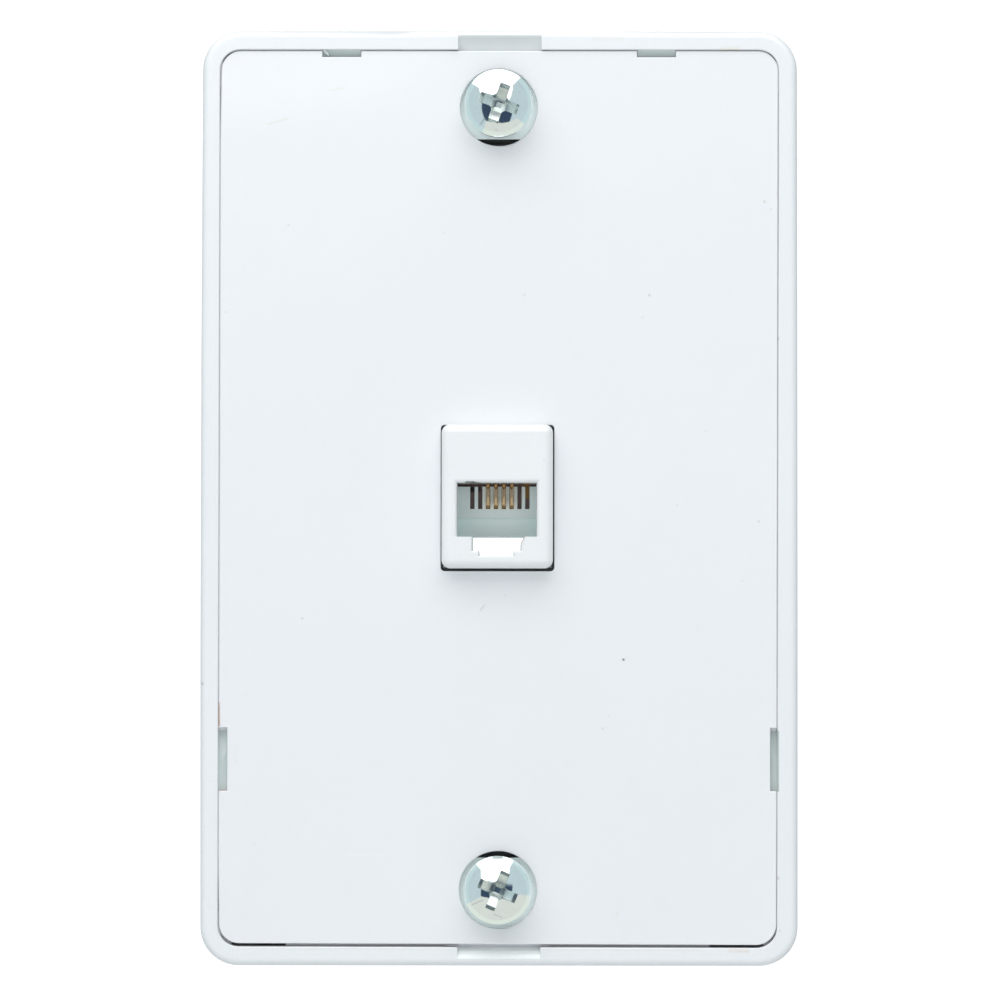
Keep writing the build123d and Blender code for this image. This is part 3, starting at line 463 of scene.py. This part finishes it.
paint("base_frame", frame_mat.m)
paint("faceplate", plate_mat.m)
paint("jack_housing", jack_mat.m)
paint("contact_carrier", insert.m)
for i in range(1, 5):
    paint(f"contact_wire_{i}", gold.m)
paint("hanger_screws", chrome.m)
paint("hanger_nuts", zinc.m)
paint("terminal_inserts", brass.m)
paint("terminal_washers", zinc.m)
paint("terminal_screws", zinc.m)
for c, rgb in (("black", (0.022, 0.022, 0.024)), ("yellow", (0.80, 0.56, 0.03)),
               ("green", (0.02, 0.24, 0.07)), ("red", (0.50, 0.02, 0.015))):
    paint(f"spade_lug_{c}", tinned.m)
    paint(f"lead_{c}", insulation(f"lead_{c}", rgb).m)

# ------------------------------------------------------------------ light and stage
def radiance_world():
    """White behind the part for the camera, cool pale grey for every other ray."""
    world = bpy.data.worlds.new("world")
    scene.world = world
    world.use_nodes = True
    nt = world.node_tree
    nt.nodes.clear()
    out = nt.nodes.new("ShaderNodeOutputWorld")
    path = nt.nodes.new("ShaderNodeLightPath")

    def back(colour, strength):
        n = nt.nodes.new("ShaderNodeBackground")
        n.inputs["Color"].default_value = (*colour, 1.0)
        n.inputs["Strength"].default_value = strength
        return n.outputs[0]

    def choose(fac, a, b):
        n = nt.nodes.new("ShaderNodeMixShader")
        nt.links.new(fac, n.inputs[0])
        nt.links.new(a, n.inputs[1])
        nt.links.new(b, n.inputs[2])
        return n.outputs[0]

    soft = choose(path.outputs["Is Glossy Ray"], back(WORLD_DIFFUSE, WORLD_STRENGTH), back(WORLD_GLOSSY, 1.0))
    full = choose(path.outputs["Is Camera Ray"], soft, back((1, 1, 1), 1.15))
    nt.links.new(full, out.inputs[0])


WORLD_DIFFUSE, WORLD_STRENGTH = (0.90, 0.98, 0.985), 0.35
WORLD_GLOSSY = (0.555, 0.68, 0.715)
radiance_world()


def area(name, loc, aim, size, size_y, radiance, colour=(1, 1, 1), roll=0.0, glossy=True):
    """A rectangular lamp of stated radiance."""
    d = bpy.data.lights.new(name, "AREA")
    d.shape = "RECTANGLE"
    d.size, d.size_y = size, size_y
    d.energy = radiance * math.pi * size * size_y
    d.color = colour
    o = bpy.data.objects.new(name, d)
    scene.collection.objects.link(o)
    o.location = loc
    o.rotation_mode = "QUATERNION"
    o.rotation_quaternion = (Vector(aim) - Vector(loc)).to_track_quat("-Z", "Y")
    o.visible_camera = False
    o.visible_glossy = glossy
    return o


# large soft light from above and in front; mirror-like surfaces see the cards below instead
area("box_over", (-0.090, -0.220, 0.840), (-0.060, -0.030, 0.0), 1.28, 0.60, 1.10, (1.005, 1.02, 1.02), glossy=False)
area("box_front", (-0.120, -0.585, 0.645), (-0.030, -0.060, 0.015), 1.28, 0.68, 1.75, (1.0, 1.02, 1.02), glossy=False)
area("fill_front", (-0.040, -1.00, -0.135), (0.0, 0.0, -0.010), 0.60, 0.60, 2.42, (0.94, 1.0, 1.0), glossy=False)


def card(name, corners, colour, strength, fade=None):
    """A flat panel that only mirror-like surfaces see; fade is (axis, from, to, other colour)."""
    me = bpy.data.meshes.new(name)
    me.from_pydata([Vector(c) for c in corners], [], [tuple(range(len(corners)))])
    o = bpy.data.objects.new(name, me)
    scene.collection.objects.link(o)
    m = Mat(name)
    m.nt.nodes.remove(m.bsdf)
    e = m.node("ShaderNodeEmission")
    e.inputs["Strength"].default_value = strength
    tint = m.mix(m.noise(9.0), tuple(c * 0.94 for c in colour), colour)
    if fade is not None:
        axis, a, b, other = fade
        sep = m.node("ShaderNodeSeparateXYZ")
        m.link(m.obj(), sep.inputs[0])
        tint = m.mix(m.ramp(sep.outputs[axis], a, b), tint, other)
    m.link(tint, e.inputs["Color"])
    m.link(e.outputs[0], m.out.inputs[0])
    me.materials.append(m.m)
    o.visible_camera = False
    o.visible_diffuse = False
    o.visible_shadow = False
    o.visible_transmission = False
    o.visible_volume_scatter = False
    return o


def panel(name, loc, aim, size, size_y, radiance, colour=(1, 1, 1)):
    """A glossy-only rectangle in the place of a soft box."""
    q = (Vector(aim) - Vector(loc)).to_track_quat("-Z", "Y")
    c = [Vector(loc) + q @ Vector((sx * size / 2, sy * size_y / 2, 0)) for sx, sy in ((-1, -1), (1, -1), (1, 1), (-1, 1))]
    return card(name, c, colour, radiance)


panel("card_over", (-0.070, -0.030, 0.400), (-0.070, -0.030, 0.0), 0.64, 0.26, 1.9)
panel("card_front", (-0.070, -0.285, 0.285), (-0.070, -0.100, 0.115), 0.64, 0.34, 1.9)
# lower tongue of the front soft box: the plate's sheen at its upper left
card("card_sheen", [(-0.300, -0.500, 0.100), (-0.067, -0.500, 0.1035), (-0.047, -0.500, 0.1055), (-0.024, -0.500, 0.111),
                    (-0.0145, -0.500, 0.117), (-0.010, -0.500, 0.126), (-0.004, -0.500, 0.165), (-0.300, -0.500, 0.165)],
     (1.0, 1.0, 1.0), 1.5)
# dark panel round the camera and a cream table edge below, both seen only in the bright heads
card("card_dark", [(-0.60, -0.56, -0.80), (0.49, -0.56, -0.80), (0.49, -0.56, 0.17), (-0.60, -0.56, 0.17)],
     (0.045, 0.075, 0.125), 1.0, (2, 0.06, 0.165, WORLD_GLOSSY))
card("card_table", [(-0.085, 0.03, -0.096), (0.22, 0.03, -0.096), (0.20, -0.118, -0.096), (-0.110, -0.118, -0.096)],
     (0.77, 0.80, 0.75), 1.0)

floor_mesh = bpy.data.meshes.new("floor")
bm = bmesh.new()
bmesh.ops.create_grid(bm, x_segments=8, y_segments=8, size=2.2)
bm.to_mesh(floor_mesh)
bm.free()
floor = bpy.data.objects.new("floor", floor_mesh)
floor.location = (0, 0.0, -0.42)
scene.collection.objects.link(floor)
fm = Mat("floor_pale")
fm.put("Base Color", fm.mix(fm.noise(6.0), (0.80, 0.81, 0.82), (0.84, 0.85, 0.86)))
fm.put("Roughness", 0.8)
floor_mesh.materials.append(fm.m)
floor.visible_glossy = False
